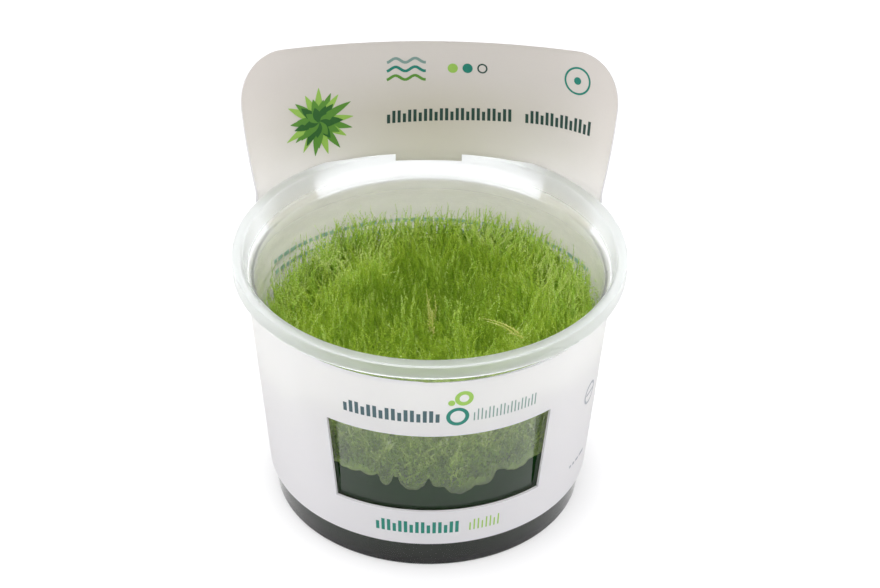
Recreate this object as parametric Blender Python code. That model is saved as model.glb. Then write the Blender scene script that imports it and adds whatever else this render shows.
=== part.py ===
# A tissue culture cup of creeping feather moss: a clear flanged cup, the printed card
# sleeve round it with its tall header, the growth gel in its bottom and the moss.
# Metres, +Z up. The origin is the middle of the cup's underside; the window faces -Y.

import math
import random

import bmesh
import bpy

# Fit between pieces
GAP = 0.0003

# Cup
CUP_SEGMENTS = 72
BASE_RADIUS = 0.0321
WALL_SLOPE = 0.087
WALL_THICKNESS = 0.0009
FLOOR_THICKNESS = 0.0012
FOOT_ROUND = 0.0007
LEDGE_HEIGHT = 0.0508
COLLAR_STEP = 0.0013
RIM_RADIUS = 0.0400
RIM_HEIGHT = 0.0563
MOUTH_RADIUS = 0.0378
SKIRT_HEIGHT = 0.0032
FLANGE_THICKNESS = 0.0009

# Card sleeve
CARD_THICKNESS = 0.0005
SLEEVE_BOTTOM = 0.0069
SLEEVE_TOP = 0.0502
WINDOW_BOTTOM = 0.0164
WINDOW_TOP = 0.0364
WINDOW_TURN = math.radians(3.7)
WINDOW_HALF_ANGLE = math.radians(37.4)
WINDOW_TAPER_ANGLE = math.radians(1.4)
FRONT_STEP = math.radians(4.5)

# Card header
HEADER_TOP = 0.0832
HEADER_HALF_WIDTH = 0.0420
HEADER_CORNER = 0.0102
HEADER_TAPER = 0.03
HEADER_LEAN = math.radians(3.0)
HEADER_MIDDLE = 0.03665
CUTOUT_HALF_WIDTH = 0.0258
CUTOUT_TOP = 0.0569
TAB_HALF_WIDTH = 0.0077
TAB_BOTTOM = 0.0550
TAB_TAPER = 0.0005
FLAT_RADIUS = 0.076
BEND_RADIUS = 0.019
HUG_RADIUS = 0.036
UNCURLED_RADIUS = 0.118
BEND_START = 0.022
BEND_END = 0.031

# Gel and moss
FILL_SEGMENTS = 60
GEL_HEIGHT = 0.0222
MOSS_HEIGHT = 0.0405
MOSS_TILT = 0.07
MOSS_TIP_HEIGHT = 0.0462
SHOOT_LENGTH = 0.0046
SHOOT_SHARE = 0.42
MOSS_RINGS = 17
MOSS_SEED = 7


def material(name, color, roughness, transmission=0.0, ior=1.5):
    made = bpy.data.materials.new(name)
    made.use_nodes = True
    shader = made.node_tree.nodes["Principled BSDF"]
    shader.inputs["Base Color"].default_value = (*color, 1.0)
    shader.inputs["Roughness"].default_value = roughness
    shader.inputs["Metallic"].default_value = 0.0
    shader.inputs["Transmission Weight"].default_value = transmission
    shader.inputs["IOR"].default_value = ior
    return made


def add_object(name, bm, mat, sharp_angle=35.0):
    mesh = bpy.data.meshes.new(name)
    bm.to_mesh(mesh)
    bm.free()
    mesh.shade_smooth()
    mesh.set_sharp_from_angle(angle=math.radians(sharp_angle))
    mesh.materials.append(mat)
    made = bpy.data.objects.new(name, mesh)
    bpy.context.scene.collection.objects.link(made)
    return made


def smooth_step(low, high, value):
    share = min(max((value - low) / (high - low), 0.0), 1.0)
    return share * share * (3.0 - 2.0 * share)


def wall_outside(z):
    return BASE_RADIUS + WALL_SLOPE * z


def wall_inside(z):
    return wall_outside(z) - WALL_THICKNESS


def arc(center_r, center_z, radius, start, end, steps):
    points = []
    for i in range(steps + 1):
        angle = math.radians(start + (end - start) * i / steps)
        points.append((center_r + radius * math.cos(angle), center_z + radius * math.sin(angle)))
    return points


# Cup

def cup_profile():
    # From the middle of the underside, up the outside, over the flange, down the inside
    ledge_out = wall_outside(LEDGE_HEIGHT)
    ledge_in = wall_inside(LEDGE_HEIGHT)
    collar_in = ledge_in + COLLAR_STEP
    skirt_in = RIM_RADIUS - FLANGE_THICKNESS
    flange_under = RIM_HEIGHT - FLANGE_THICKNESS
    collar_out = MOUTH_RADIUS + 0.4 * FLANGE_THICKNESS
    points = [(0.0, 0.0)]
    points += arc(wall_outside(FOOT_ROUND) - FOOT_ROUND, FOOT_ROUND, FOOT_ROUND, -90.0, -5.0, 3)
    points.append((ledge_out, LEDGE_HEIGHT))
    points.append((ledge_out + 0.8 * COLLAR_STEP, LEDGE_HEIGHT + 0.5 * COLLAR_STEP))
    points.append((collar_out, flange_under))
    points.append((skirt_in, flange_under))
    points.append((skirt_in, RIM_HEIGHT - SKIRT_HEIGHT))
    points.append((RIM_RADIUS, RIM_HEIGHT - SKIRT_HEIGHT))
    points += arc(RIM_RADIUS - 0.0005, RIM_HEIGHT - 0.0005, 0.0005, 0.0, 90.0, 2)
    points += arc(MOUTH_RADIUS + 0.0003, RIM_HEIGHT - 0.0003, 0.0003, 90.0, 180.0, 1)
    points.append((collar_in, LEDGE_HEIGHT + COLLAR_STEP))
    points.append((ledge_in, LEDGE_HEIGHT + 0.5 * COLLAR_STEP))
    points += arc(wall_inside(0.0022) - FOOT_ROUND, FLOOR_THICKNESS + FOOT_ROUND, FOOT_ROUND, 0.0, -90.0, 2)
    points.append((0.0, FLOOR_THICKNESS))
    return points


def build_cup():
    bm = bmesh.new()
    verts = [bm.verts.new((r, 0.0, z)) for r, z in cup_profile()]
    edges = [bm.edges.new(pair) for pair in zip(verts, verts[1:])]
    bmesh.ops.spin(bm, geom=verts + edges, cent=(0, 0, 0), axis=(0, 0, 1), angle=math.tau,
                   steps=CUP_SEGMENTS, use_merge=True, use_duplicate=False)
    bmesh.ops.remove_doubles(bm, verts=bm.verts, dist=0.00001)
    bmesh.ops.recalc_face_normals(bm, faces=bm.faces)
    return add_object("cup", bm, material("clear_plastic", (0.93, 0.95, 0.95), 0.06, 1.0, 1.49))


# Card sleeve: a grid over the card's middle surface, thickened by a Solidify modifier.
# A column is a place along the card, measured as arc length from the middle of the back.

def sleeve_radius(z):
    return wall_outside(z) + GAP + 0.5 * CARD_THICKNESS


def header_columns():
    flat = HEADER_HALF_WIDTH - HEADER_CORNER
    half = [TAB_HALF_WIDTH * 0.5, TAB_HALF_WIDTH]
    between = 5
    for i in range(1, between + 1):
        half.append(TAB_HALF_WIDTH + (CUTOUT_HALF_WIDTH - TAB_HALF_WIDTH) * i / between)
    half.append(0.5 * (CUTOUT_HALF_WIDTH + flat))
    for degrees in (0.0, 20.0, 38.0, 54.0, 70.0, 90.0):
        half.append(flat + HEADER_CORNER * math.sin(math.radians(degrees)))
    return [-s for s in reversed(half)] + [0.0] + half


def front_columns():
    # The sleeve's columns from the header's right side round the front to its left side
    top = sleeve_radius(SLEEVE_TOP)
    ends = [HEADER_HALF_WIDTH / top,
            math.pi - WINDOW_TURN - WINDOW_HALF_ANGLE,
            math.pi - WINDOW_TURN + WINDOW_HALF_ANGLE,
            math.tau - HEADER_HALF_WIDTH / top]
    angles = []
    for start, end in zip(ends, ends[1:]):
        count = math.ceil((end - start) / FRONT_STEP)
        angles += [start + (end - start) * i / count for i in range(count)]
    return [angle * top for angle in angles[1:]]


def header_top(s):
    over = max(abs(s) - (HEADER_HALF_WIDTH - HEADER_CORNER), 0.0)
    rise = math.sqrt(max(HEADER_CORNER ** 2 - over ** 2, 0.0))
    return HEADER_TOP - HEADER_CORNER + rise


def header_curvature(s, z):
    # Round the cone at its root, round the flange beyond the cut-out, nearly flat at its top
    bend = smooth_step(BEND_START - 0.002, BEND_START + 0.002, s)
    hug = smooth_step(BEND_END - 0.002, BEND_END + 0.002, s)
    at_flange = 1.0 / FLAT_RADIUS
    at_flange += (1.0 / BEND_RADIUS - 1.0 / FLAT_RADIUS) * bend
    at_flange += (1.0 / HUG_RADIUS - 1.0 / BEND_RADIUS) * hug
    at_root = 1.0 / sleeve_radius(SLEEVE_TOP)
    flared = min((z - SLEEVE_TOP) / (RIM_HEIGHT - SKIRT_HEIGHT - SLEEVE_TOP), 1.0)
    uncurled = min(max((z - CUTOUT_TOP) / (HEADER_TOP - CUTOUT_TOP), 0.0), 1.0)
    low = at_root + (at_flange - at_root) * flared
    return low + (1.0 / UNCURLED_RADIUS - low) * uncurled


def header_point(s, z):
    # Walk along the card's section at this height, turning by its curvature
    taper = 1.0 - HEADER_TAPER * max(z - CUTOUT_TOP, 0.0) / (HEADER_TOP - CUTOUT_TOP)
    length = abs(s) * taper
    steps = 48
    x = y = turn = 0.0
    for i in range(steps):
        middle = length * (i + 0.5) / steps
        half_turn = 0.5 * header_curvature(middle, z) * length / steps
        turn += half_turn
        x += math.cos(turn) * length / steps
        y -= math.sin(turn) * length / steps
        turn += half_turn
    skirt_bottom = RIM_HEIGHT - SKIRT_HEIGHT
    root = sleeve_radius(SLEEVE_TOP)
    flared = min((z - SLEEVE_TOP) / (skirt_bottom - SLEEVE_TOP), 1.0)
    back = root + (HEADER_MIDDLE - root) * flared
    back += math.tan(HEADER_LEAN) * max(z - skirt_bottom, 0.0)
    return (math.copysign(x, s), back + y, z)


def sleeve_point(s, z):
    angle = s / sleeve_radius(SLEEVE_TOP)
    radius = sleeve_radius(z)
    return (radius * math.sin(angle), radius * math.cos(angle), z)


def in_window(s_left, s_right):
    top = sleeve_radius(SLEEVE_TOP)
    middle = 0.5 * (s_left + s_right) / top
    return abs(middle - (math.pi - WINDOW_TURN)) < WINDOW_HALF_ANGLE


def window_shift(s, z):
    # The window's sides come in a little towards its bottom
    top = sleeve_radius(SLEEVE_TOP)
    from_middle = s / top - (math.pi - WINDOW_TURN)
    if z > 0.5 * (WINDOW_TOP + WINDOW_BOTTOM) or abs(abs(from_middle) - WINDOW_HALF_ANGLE) > 0.001:
        return s
    return s - math.copysign(WINDOW_TAPER_ANGLE * top, from_middle)


def build_card_sleeve():
    bm = bmesh.new()
    columns = header_columns() + front_columns()
    header_count = len(header_columns())
    rows = [SLEEVE_BOTTOM, WINDOW_BOTTOM, WINDOW_TOP, SLEEVE_TOP]
    ring = []
    for z in rows:
        ring.append([bm.verts.new(sleeve_point(window_shift(s, z), z)) for s in columns])
    for low, high in zip(range(3), range(1, 4)):
        for i, s in enumerate(columns):
            after = (i + 1) % len(columns)
            s_after = columns[after] if after else columns[0] + math.tau * sleeve_radius(SLEEVE_TOP)
            if low == 1 and in_window(s, s_after):
                continue
            bm.faces.new((ring[low][i], ring[high][i], ring[high][after], ring[low][after]))

    # The header's root passes outside the skirt, beside the cut-out
    header = header_columns()
    skirt_bottom = RIM_HEIGHT - SKIRT_HEIGHT
    flare_rows = [SLEEVE_TOP + (skirt_bottom - SLEEVE_TOP) * f for f in (0.33, 0.67, 1.0)]
    low_rows = flare_rows + [TAB_BOTTOM, CUTOUT_TOP]
    grid = [ring[3][:header_count]]
    for z in low_rows:
        line = []
        for s in header:
            beside = abs(s) > CUTOUT_HALF_WIDTH - 0.0001
            tab = z >= TAB_BOTTOM and abs(s) < TAB_HALF_WIDTH + 0.0001
            edge = z == TAB_BOTTOM and abs(abs(s) - TAB_HALF_WIDTH) < 0.0001
            narrowed = s - math.copysign(TAB_TAPER, s) if edge else s
            used = beside or tab or z == CUTOUT_TOP
            line.append(bm.verts.new(header_point(narrowed, z)) if used else None)
        grid.append(line)
    upper = 9
    for i in range(1, upper + 1):
        share = i / upper
        heights = [CUTOUT_TOP + share * (header_top(s) - CUTOUT_TOP) for s in header]
        grid.append([bm.verts.new(header_point(s, z)) for s, z in zip(header, heights)])
    cutout_row = len(low_rows)
    tab_row = cutout_row - 1
    for row in range(len(grid) - 1):
        for i in range(header_count - 1):
            middle = 0.5 * abs(header[i] + header[i + 1])
            if row < cutout_row and middle < CUTOUT_HALF_WIDTH:
                if row != tab_row or middle > TAB_HALF_WIDTH:
                    continue
            bm.faces.new((grid[row][i], grid[row + 1][i], grid[row + 1][i + 1], grid[row][i + 1]))

    bmesh.ops.recalc_face_normals(bm, faces=bm.faces)
    sleeve = add_object("card_sleeve", bm, material("white_card", (0.86, 0.86, 0.85), 0.5), 40.0)
    solid = sleeve.modifiers.new("card", "SOLIDIFY")
    solid.thickness = CARD_THICKNESS
    solid.offset = 0.0
    solid.use_even_offset = True
    return sleeve


# Gel and moss share one uneven surface between them.

def gel_top(radius, angle):
    azimuth = angle + 0.5 * math.pi
    depth = radius / wall_inside(GEL_HEIGHT)
    wave = 0.0017 * math.cos(6.0 * azimuth + 2.7) + 0.0009 * math.cos(11.0 * azimuth - 1.6)
    return GEL_HEIGHT + wave * depth ** 2 + 0.0006 * math.sin(3.0 * angle) * math.sin(9.0 * depth)


def fill_edge(height_at, angle):
    # The height and the radius at which an uneven surface meets the cup's wall
    z = height_at(wall_inside(GEL_HEIGHT), angle)
    radius = wall_inside(z) - GAP
    return radius, z


def cap_ring_point(share, angle, height_at):
    edge_radius, edge_z = fill_edge(height_at, angle)
    radius = share * edge_radius
    z = edge_z if share == 1.0 else height_at(radius, angle)
    return (radius * math.cos(angle), radius * math.sin(angle), z)


def angles(count):
    return [math.tau * i / count for i in range(count)]


def join_rings(bm, rings, closed_bottom, closed_top):
    # Rings run from the bottom middle out, up the side and in over the top
    for low, high in zip(rings, rings[1:]):
        for i in range(len(low)):
            after = (i + 1) % len(low)
            bm.faces.new((low[i], low[after], high[after], high[i]))
    for ring, middle in ((rings[0], closed_bottom), (rings[-1], closed_top)):
        for i in range(len(ring)):
            bm.faces.new((ring[i], ring[(i + 1) % len(ring)], middle))
    bmesh.ops.recalc_face_normals(bm, faces=bm.faces)


def build_gel():
    bm = bmesh.new()
    floor = FLOOR_THICKNESS + GAP
    foot = floor + FOOT_ROUND
    turns = angles(FILL_SEGMENTS)
    foot_radius = wall_inside(foot) - GAP
    rings = []
    for radius, z in ((foot_radius - FOOT_ROUND, floor), (foot_radius, foot)):
        rings.append([bm.verts.new((radius * math.cos(a), radius * math.sin(a), z)) for a in turns])
    for share in (1.0, 0.8, 0.6, 0.4, 0.2):
        rings.append([bm.verts.new(cap_ring_point(share, a, gel_top)) for a in turns])
    bottom = bm.verts.new((0.0, 0.0, floor))
    top = bm.verts.new((0.0, 0.0, GEL_HEIGHT))
    join_rings(bm, rings, bottom, top)
    return add_object("growth_gel", bm, material("dark_gel", (0.06, 0.06, 0.03), 0.25))


def moss_canopy(x, y):
    # A low cushion, higher towards its right side, with soft hummocks
    hummocks = 0.0009 * math.sin(210.0 * x + 1.0) * math.cos(170.0 * y)
    return MOSS_HEIGHT + MOSS_TILT * x + hummocks


def moss_top_ring(share, turns, shoots):
    # Shoot tips and hollows at uneven places, and close to the cup's wall in the last ring
    points = []
    step = math.tau / len(turns)
    spacing = wall_inside(MOSS_HEIGHT) / MOSS_RINGS
    for a in turns:
        angle = a + shoots.uniform(-0.3, 0.3) * step
        radius = share * wall_inside(MOSS_HEIGHT)
        radius += shoots.uniform(-0.3, 0.3) * spacing if share < 1.0 else 0.0
        is_tip = shoots.random() < SHOOT_SHARE
        lift = shoots.uniform(0.45, 1.0) if is_tip else shoots.uniform(-0.45, 0.1)
        canopy = moss_canopy(radius * math.cos(angle), radius * math.sin(angle))
        z = min(canopy + lift * SHOOT_LENGTH, MOSS_TIP_HEIGHT)
        if share == 1.0:
            radius = wall_inside(z) - GAP
        points.append((radius * math.cos(angle), radius * math.sin(angle), z))
    return points


def build_moss():
    bm = bmesh.new()
    shoots = random.Random(MOSS_SEED)
    turns = angles(FILL_SEGMENTS)

    def underside(radius, angle):
        return gel_top(radius, angle) + GAP

    rings = []
    for share in (0.2, 0.4, 0.6, 0.8, 1.0):
        rings.append([bm.verts.new(cap_ring_point(share, a, underside)) for a in turns])
    for ring in range(MOSS_RINGS, 0, -1):
        share = (ring / MOSS_RINGS) ** 0.75
        rings.append([bm.verts.new(point) for point in moss_top_ring(share, turns, shoots)])
    bottom = bm.verts.new((0.0, 0.0, GEL_HEIGHT + GAP))
    top = bm.verts.new((0.0, 0.0, moss_canopy(0.0, 0.0)))
    join_rings(bm, rings, bottom, top)
    return add_object("moss", bm, material("moss_green", (0.22, 0.34, 0.04), 0.7), 20.0)


for old in list(bpy.data.objects):
    bpy.data.objects.remove(old)

build_cup()
build_card_sleeve()
build_gel()
build_moss()
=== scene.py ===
import math
import random

import bmesh
import bpy
import numpy as np
from mathutils import Matrix, Vector, noise


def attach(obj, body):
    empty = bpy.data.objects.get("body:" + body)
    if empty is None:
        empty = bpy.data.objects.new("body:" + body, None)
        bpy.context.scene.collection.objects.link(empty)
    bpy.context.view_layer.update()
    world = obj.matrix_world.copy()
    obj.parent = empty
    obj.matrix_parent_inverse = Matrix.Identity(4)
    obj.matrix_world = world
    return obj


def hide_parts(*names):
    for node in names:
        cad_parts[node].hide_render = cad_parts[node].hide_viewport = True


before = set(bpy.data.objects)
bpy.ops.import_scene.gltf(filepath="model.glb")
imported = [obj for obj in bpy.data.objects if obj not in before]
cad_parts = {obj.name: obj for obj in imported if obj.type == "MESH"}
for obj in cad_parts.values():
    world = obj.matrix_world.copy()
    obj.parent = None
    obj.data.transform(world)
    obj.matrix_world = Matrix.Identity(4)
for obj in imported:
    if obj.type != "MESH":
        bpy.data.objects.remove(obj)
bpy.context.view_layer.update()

# A tissue culture cup of creeping feather moss. Metres, +Z up, the window faces -Y.
print("packed nodes:", ", ".join(sorted(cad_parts)))

mm = 0.001


class Wire:
    # one output socket: + - * / on it add Math nodes
    def __init__(self, finish, socket):
        self.finish = finish
        self.socket = socket

    def __add__(self, other):
        return self.finish.maths("ADD", self, other)

    def __radd__(self, other):
        return self.finish.maths("ADD", other, self)

    def __sub__(self, other):
        return self.finish.maths("SUBTRACT", self, other)

    def __rsub__(self, other):
        return self.finish.maths("SUBTRACT", other, self)

    def __mul__(self, other):
        return self.finish.maths("MULTIPLY", self, other)

    def __rmul__(self, other):
        return self.finish.maths("MULTIPLY", other, self)

    def __truediv__(self, other):
        return self.finish.maths("DIVIDE", self, other)

    def __rtruediv__(self, other):
        return self.finish.maths("DIVIDE", other, self)

    def held(self, low=0.0, high=1.0):
        return self.finish.maths("MINIMUM", self.finish.maths("MAXIMUM", self, low), high)


class Finish:
    # one node tree: add() makes any node from its type, its settings and its sockets
    def __init__(self, name, owner=None):
        self.owner = owner or bpy.data.materials.new(name)
        self.owner.use_nodes = True
        self.tree = self.owner.node_tree
        self.tree.nodes.clear()

    def add(self, kind, settings, sockets, output=0):
        node = self.tree.nodes.new(kind)
        for key, value in settings.items():
            if key == "stops":
                ramp = node.color_ramp
                while len(ramp.elements) < len(value):
                    ramp.elements.new(1.0)
                for element, (place, color) in zip(ramp.elements, value):
                    element.position = place
                    element.color = (*color, 1.0)
            else:
                setattr(node, key, value)
        for key, value in sockets.items():
            if isinstance(value, Wire):
                self.tree.links.new(value.socket, node.inputs[key])
            else:
                node.inputs[key].default_value = value
        return Wire(self, node.outputs[output]) if node.outputs else None

    def maths(self, operation, *values):
        return self.add("ShaderNodeMath", {"operation": operation}, dict(enumerate(values)))

    def blend(self, factor, first, second):
        sockets = {0: factor, 6: first, 7: second}
        for key in (6, 7):
            if not isinstance(sockets[key], Wire):
                sockets[key] = (*sockets[key], 1.0)
        return self.add("ShaderNodeMix", {"data_type": "RGBA"}, sockets, 2)

    def ramp(self, factor, stops):
        return self.add("ShaderNodeValToRGB", {"stops": stops}, {"Fac": factor})

    def place(self):
        return self.add("ShaderNodeTexCoord", {}, {}, 3)

    def split(self, vector):
        first = self.add("ShaderNodeSeparateXYZ", {}, {0: vector})
        node = first.socket.node
        return first, Wire(self, node.outputs[1]), Wire(self, node.outputs[2])

    def stretched(self, scale):
        return self.add("ShaderNodeVectorMath", {"operation": "MULTIPLY"}, {0: self.place(), 1: scale})

    def speckle(self, scale, detail=2.0, where=None, rough=0.5):
        where = where or self.place()
        sockets = {"Vector": where, "Scale": scale, "Detail": detail, "Roughness": rough}
        return self.add("ShaderNodeTexNoise", {}, sockets)

    def bump(self, height, distance, strength=1.0):
        sockets = {"Height": height, "Distance": distance, "Strength": strength}
        return self.add("ShaderNodeBump", {}, sockets)

    def done(self, sockets, volume=None, through=None):
        # through is the share and the colour of the light that comes from the other side
        shader = self.add("ShaderNodeBsdfPrincipled", {}, sockets)
        if through:
            share, color = through
            other = self.add("ShaderNodeBsdfTranslucent", {}, {"Color": (*color, 1.0)})
            shader = self.add("ShaderNodeMixShader", {}, {0: share, 1: shader, 2: other})
        ends = {"Surface": shader}
        if volume:
            ends["Volume"] = volume
        self.add("ShaderNodeOutputMaterial", {}, ends)
        return self.owner


def rgb(*values):
    # screen colour 0-255 to the linear colour that the shaders take
    shares = [value / 255.0 for value in values]
    return tuple(s / 12.92 if s <= 0.04045 else ((s + 0.055) / 1.055) ** 2.4 for s in shares)


def stops(places, *colors):
    return [(place, rgb(*color)) for place, color in zip(places, colors)]


def smoothStep(low, high, value):
    share = np.clip((value - low) / (high - low), 0.0, 1.0)
    return share * share * (3.0 - 2.0 * share)


def makePiece(name, points, faces, finishes, nodes=(), faceFinish=None, closed=True, sharp=35):
    mesh = bpy.data.meshes.new(name)
    mesh.from_pydata(np.asarray(points).tolist(), [], [tuple(face) for face in faces])
    for finish in finishes:
        mesh.materials.append(finish)
    if faceFinish is not None:
        mesh.polygons.foreach_set("material_index", np.asarray(faceFinish, np.int32))
    if closed:
        bm = bmesh.new()
        bm.from_mesh(mesh)
        bmesh.ops.recalc_face_normals(bm, faces=bm.faces)
        bm.to_mesh(mesh)
        bm.free()
    mesh.shade_smooth()
    mesh.set_sharp_from_angle(angle=math.radians(sharp))
    piece = bpy.data.objects.new(name, mesh)
    bpy.context.scene.collection.objects.link(piece)
    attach(piece, "root")
    if nodes:
        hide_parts(*nodes)
    print(f"{name}: {len(mesh.polygons)} faces")
    return piece


# Clear cup: a turned wall with a wide flange and a short skirt under it
cup = {
    "baseRadius": 32.1 * mm,    # outside, at the foot
    "slope": 0.087,             # widening of the wall with height
    "wall": 0.9 * mm,
    "floor": 1.2 * mm,
    "footRound": 0.7 * mm,
    "cornerRound": 1.0 * mm,    # inside, where the wall meets the floor
    "ledgeHeight": 50.8 * mm,   # where the wall steps out to the collar
    "collarStep": 1.3 * mm,
    "rimRadius": 40.0 * mm,
    "rimHeight": 56.3 * mm,
    "mouthRadius": 37.8 * mm,
    "skirtHeight": 3.2 * mm,
    "flange": 0.9 * mm,
    "segments": 320,
    "tint": (0.985, 0.995, 0.99),
    "roughness": 0.03,
    "absorbColor": (0.80, 0.87, 0.85),
    "absorbDensity": 120.0,
    "milkAndPaintedLight": 0.26,               # how cloudy the thick moulded rim is, with painted light that makes it whiter at the back
    "milkColor": (0.97, 0.97, 0.97),
    "milkFrom": 45 * mm,
    "milkFull": 51 * mm,
    "milkPaintedLightReach": 52 * mm,       # painted light: the shorter, the more of the white cloud is at the back
    "frost": 0.28,              # roughness that the rim has beyond the wall's
    "frostFade": 2 * mm,
}
skirtBottom = cup["rimHeight"] - cup["skirtHeight"]


def wallOutside(z):
    return cup["baseRadius"] + cup["slope"] * z


def wallInside(z):
    return wallOutside(z) - cup["wall"]


def rounded(corners, steps=6):
    # corners are (radius, height, rounding); a rounded one becomes a short curve
    profile = []
    for i, (r, z, rounding) in enumerate(corners):
        corner = np.array((r, z))
        if rounding == 0.0:
            profile.append(corner)
            continue
        before = np.array(corners[i - 1][:2]) - corner
        after = np.array(corners[i + 1][:2]) - corner
        start = corner + before * min(rounding / np.linalg.norm(before), 0.5)
        end = corner + after * min(rounding / np.linalg.norm(after), 0.5)
        for t in np.linspace(0.0, 1.0, steps + 1):
            profile.append((1 - t) ** 2 * start + 2 * t * (1 - t) * corner + t * t * end)
    return profile


def evenTurns(count):
    return np.arange(count) * math.tau / count


def circle(radius, z, turns):
    # radius and height are numbers, or arrays with one value for each turn
    return np.column_stack(np.broadcast_arrays(radius * np.cos(turns), radius * np.sin(turns), z))


def ringStack(rings, start, end):
    # closes a stack of equal rings with a point at either end
    points = np.vstack([*rings, start, end])
    count = len(rings[0])
    faces = []
    for i in range(count):
        after = (i + 1) % count
        faces.append((after, i, len(points) - 2))
        for low in range(0, (len(rings) - 1) * count, count):
            faces.append((low + i, low + after, low + count + after, low + count + i))
        last = (len(rings) - 1) * count
        faces.append((last + i, last + after, len(points) - 1))
    return points, faces


def clearPlasticFinish():
    finish = Finish("clearPlastic")
    flow = finish.speckle(50.0, 1.0, finish.stretched((1.0, 1.0, 2.0)))
    scuffs = finish.speckle(900.0, 2.0)
    y, z = finish.split(finish.place())[1:]
    rim = ((z - cup["milkFrom"]) / (cup["milkFull"] - cup["milkFrom"])).held()
    # the rim's white cloud is partly painted light: little at the front, most at the back
    milkAndPaintedLight = cup["milkAndPaintedLight"] * (rim * (1 + y / cup["milkPaintedLightReach"]))
    frost = cup["frost"] * ((z - cup["milkFull"]) / cup["frostFade"]).held()
    absorb = finish.add("ShaderNodeVolumeAbsorption", {}, {
        "Color": (*cup["absorbColor"], 1.0), "Density": cup["absorbDensity"]})
    return finish.done({
        "Base Color": (*cup["tint"], 1.0),
        "Roughness": cup["roughness"] + 0.03 * scuffs + frost,
        "Transmission Weight": 1.0,
        "IOR": 1.45,
        "Normal": finish.bump(flow, 0.01 * mm, 0.06),
    }, absorb, (milkAndPaintedLight, cup["milkColor"]))


def buildCup():
    c = cup
    ledgeOut = wallOutside(c["ledgeHeight"])
    ledgeIn = wallInside(c["ledgeHeight"])
    collarIn = ledgeIn + c["collarStep"]
    skirtIn = c["rimRadius"] - c["flange"]
    under = c["rimHeight"] - c["flange"]
    corners = [
        # radius, height, rounding: up the outside, over the rim and down the inside
        (0.0, 0.0, 0.0),
        (wallOutside(0.0), 0.0, c["footRound"]),
        (ledgeOut, c["ledgeHeight"], 0.3 * mm),
        (ledgeOut + 0.8 * c["collarStep"], c["ledgeHeight"] + 0.5 * c["collarStep"], 0.3 * mm),
        (c["mouthRadius"] + 0.4 * c["flange"], under, 0.25 * mm),
        (skirtIn, under, 0.25 * mm),
        (skirtIn, skirtBottom, 0.15 * mm),
        (c["rimRadius"], skirtBottom, 0.2 * mm),
        (c["rimRadius"], c["rimHeight"], 0.18 * mm),
        (c["mouthRadius"], c["rimHeight"], 0.35 * mm),
        (collarIn, c["ledgeHeight"] + c["collarStep"], 0.35 * mm),
        (ledgeIn, c["ledgeHeight"] + 0.5 * c["collarStep"], 0.35 * mm),
        (wallInside(c["floor"]), c["floor"], c["cornerRound"]),
        (0.0, c["floor"], 0.0),
    ]
    profile = rounded(corners)
    rings = [circle(radius, z, evenTurns(c["segments"])) for radius, z in profile[1:-1]]
    points, faces = ringStack(rings, (0, 0, 0), (0, 0, c["floor"]))
    return makePiece("clearCup", points, faces, [clearPlasticFinish()], ["cup"])


buildCup()


# Card sleeve: one board wrapped round the cup, with a window in front and a tall header behind.
# A place on it is s, the length along the board from the middle of the back, and z, the height.
card = {
    "gap": 0.3 * mm,
    "thickness": 0.5 * mm,
    "sleeveBottom": 6.9 * mm,
    "sleeveTop": 50.2 * mm,
    "windowBottom": 15.9 * mm,
    "windowTop": 36.4 * mm,
    "windowTurn": math.radians(3.7),
    "windowHalfAngle": math.radians(38.0),
    "windowTaper": math.radians(1.4),
    "headerTop": 83.2 * mm,
    "headerHalfWidth": 42.0 * mm,
    "headerCorner": 10.2 * mm,
    "headerTaper": 0.03,
    "headerLean": math.radians(3.0),
    "headerMiddle": 36.65 * mm,
    "cutoutHalfWidth": 25.8 * mm,
    "cutoutTop": 56.9 * mm,
    "cutoutSag": 0.3 * mm,      # how far its upper edge comes down at the tab
    "cutoutDrop": 1.05 * mm,    # and how much further at the corners
    "tabHalfWidth": 7.1 * mm,
    "tabBottom": 55.0 * mm,
    "flatRadius": 76 * mm,
    "bendRadius": 19 * mm,
    "hugRadius": 36 * mm,
    "uncurledRadius": 118 * mm,
    "bendStart": 22 * mm,
    "bendEnd": 31 * mm,
    "bendFade": 2 * mm,         # half the length over which the curvature changes
    "step": 1.0 * mm,           # widest column of the mesh
    "rowStep": 1.4 * mm,        # tallest row, on the sleeve and on the low header
    "lowRowStep": 0.8 * mm,
    "headerRows": 34,
    "outside": rgb(246, 246, 253),
    "ahead": (-24 * mm, -35 * mm),  # painted shade: the front is a little greyer, from the first y to the second
    "inside": rgb(191, 185, 180),
    # painted shade low in the header's middle, and painted light at its sides
    "insidePaintedShade": rgb(166, 160, 128),
    "insidePaintedLight": rgb(226, 222, 220),
    # painted light: the sleeve's inside is coloured lighter than the header's inside
    "sleeveInsidePaintedLight": rgb(241, 232, 206),
    "low": (76 * mm, 50 * mm),  # heights between which the header's inside turns from one to the other: into painted shade low in its middle, and painted light at its sides
    "sleeveFrom": (52.5 * mm, 50.5 * mm),
    "middleReach": 24 * mm,     # how far the painted shade reaches from the header's middle, to each side
    # from the header's middle out to where the painted light at its sides is full
    "sideReach": 36 * mm,
    "single": (67 * mm, 52 * mm),   # from the pasted header down to the single board
    "fibre": rgb(150, 140, 126),
    "edge": rgb(205, 204, 205),
    "throughColor": (0.96, 0.96, 0.93),
    # shares of a face that let light through, on the header (two boards pasted) and on the sleeve
    "throughCoated": (0.30, 0.46),
    "throughBare": (0.20, 0.60),
}


def sleeveRadius(z):
    return wallOutside(z) + card["gap"] + 0.5 * card["thickness"]


def flareAt(z):
    # 0 where the header leaves the sleeve, 1 from the skirt's bottom up
    return np.minimum((z - card["sleeveTop"]) / (skirtBottom - card["sleeveTop"]), 1.0)


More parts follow.
